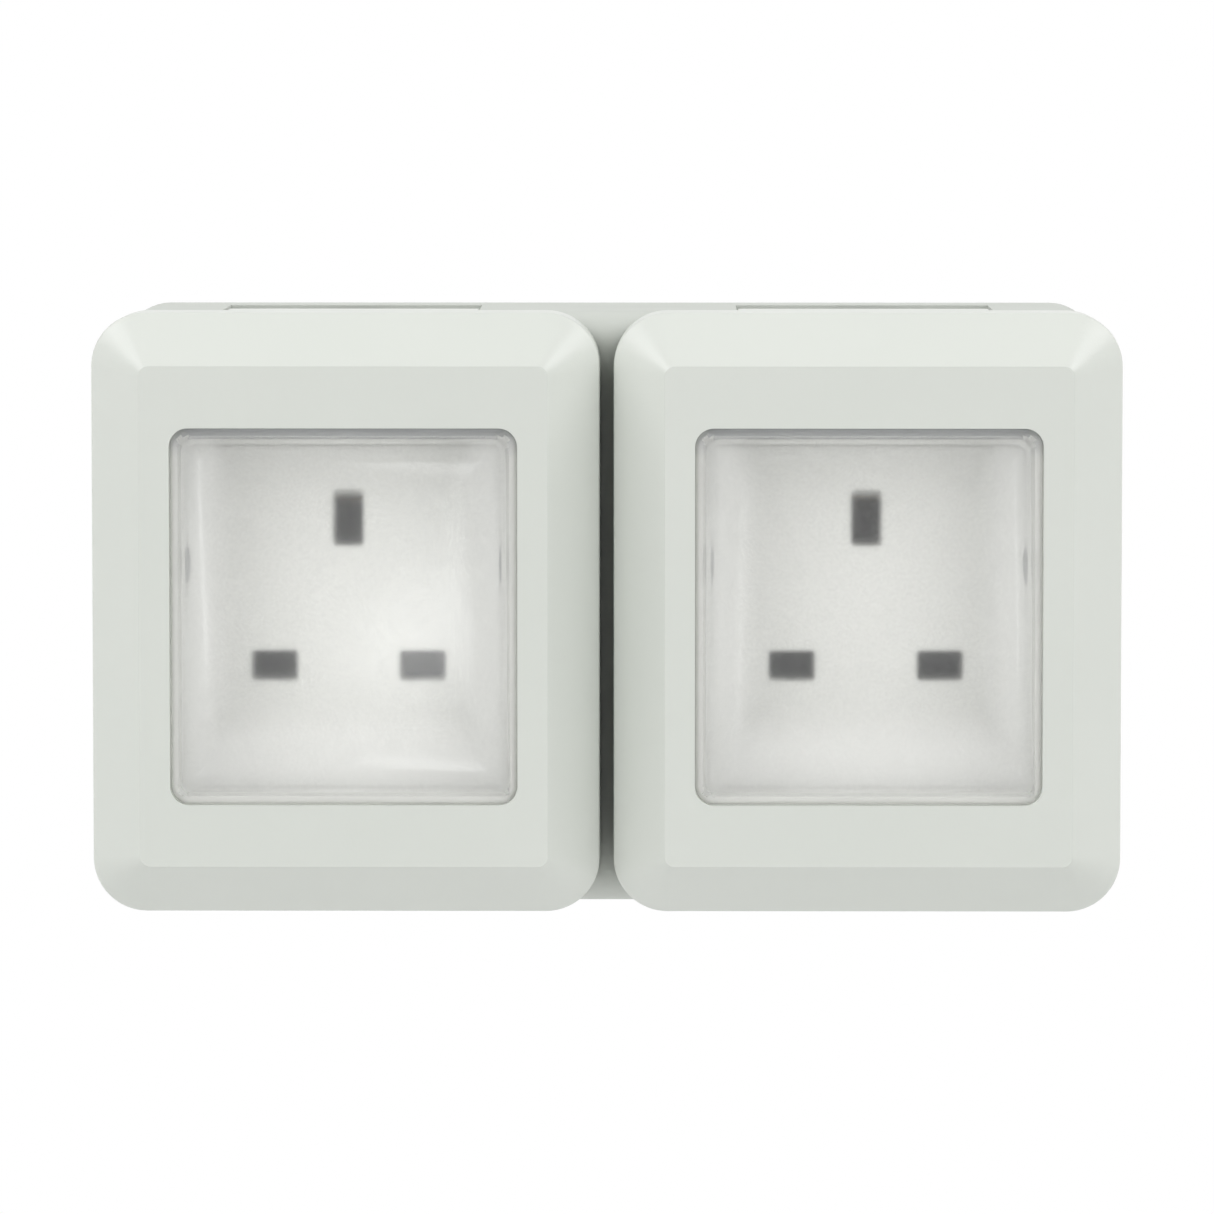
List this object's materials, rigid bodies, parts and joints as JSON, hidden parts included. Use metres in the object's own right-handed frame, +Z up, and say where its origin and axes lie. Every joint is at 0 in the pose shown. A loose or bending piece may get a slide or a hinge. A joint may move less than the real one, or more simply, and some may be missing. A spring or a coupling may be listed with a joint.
{
  "type": "weatherproof double socket",
  "caption": "Surface-mounted outdoor double wall socket with a hinged, bevelled lid and a milky soft window over each outlet.",
  "frame": {"origin": "centre of the four wall fixing holes, on the flat back face, behind the middle of the two lids", "axes": "+X to the right seen from the front, +Y towards the wall (the lids face -Y), +Z up"},
  "size_m": [0.153, 0.0605, 0.0893],
  "materials": {
    "lid_plastic": "fine satin grain",
    "housing_plastic": "fine satin grain",
    "face_plastic": "smooth",
    "inner_plastic": "smooth",
    "dark_plastic": "matt",
    "window_membrane": "milky, soft and see-through",
    "black_rubber": "matt",
    "grey_rubber": "matt",
    "brass": "stamped",
    "zinc_steel": "bright zinc",
    "spring_steel": "drawn wire"
  },
  "bodies": {
    "base": {"back_box": "housing_plastic", "housing_seal": "black_rubber", "front_housing": "housing_plastic", "housing_screws": "zinc_steel", "contact_carrier": "inner_plastic", "carrier_screws": "zinc_steel", "neutral_bar": "brass", "line_bar": "brass", "earth_bar": "brass", "terminal_screws": "zinc_steel", "left_socket_face": "face_plastic", "left_shutter_spring": "spring_steel", "left_hinge_pin": "spring_steel", "left_lid_spring": "spring_steel", "left_entry_grommet": "grey_rubber", "right_socket_face": "face_plastic", "right_shutter_spring": "spring_steel", "right_hinge_pin": "spring_steel", "right_lid_spring": "spring_steel", "right_entry_grommet": "grey_rubber"},
    "left_lid": {"left_lid_frame": "lid_plastic", "left_window": "window_membrane", "left_window_retainer": "lid_plastic", "left_lid_gasket": "black_rubber"},
    "left_shutter_slide": {"left_shutter": "dark_plastic"},
    "right_lid": {"right_lid_frame": "lid_plastic", "right_window": "window_membrane", "right_window_retainer": "lid_plastic", "right_lid_gasket": "black_rubber"},
    "right_shutter_slide": {"right_shutter": "dark_plastic"}
  },
  "joints": [
    {"name": "left_lid_hinge", "type": "hinge", "parent": "base", "child": "left_lid", "pos_m": [-0.0388, -0.0192, 0.03905], "axis": [-1, 0, 0], "range_deg": [0, 100], "stiffness_Nm_per_rad": 0.02, "springref_deg": -91.67, "deforming": ["left_lid_spring"]},
    {"name": "left_shutter_travel", "type": "slide", "parent": "base", "child": "left_shutter_slide", "axis": [0, 0, -1], "range_m": [0, 0.0065], "stiffness_N_per_m": 120, "springref_m": -0.006, "deforming": ["left_shutter_spring"]},
    {"name": "right_lid_hinge", "type": "hinge", "parent": "base", "child": "right_lid", "pos_m": [0.0388, -0.0192, 0.03905], "axis": [-1, 0, 0], "range_deg": [0, 100], "stiffness_Nm_per_rad": 0.02, "springref_deg": -91.67, "deforming": ["right_lid_spring"]},
    {"name": "right_shutter_travel", "type": "slide", "parent": "base", "child": "right_shutter_slide", "axis": [0, 0, -1], "range_m": [0, 0.0065], "stiffness_N_per_m": 120, "springref_m": -0.006, "deforming": ["right_shutter_spring"]}
  ]
}
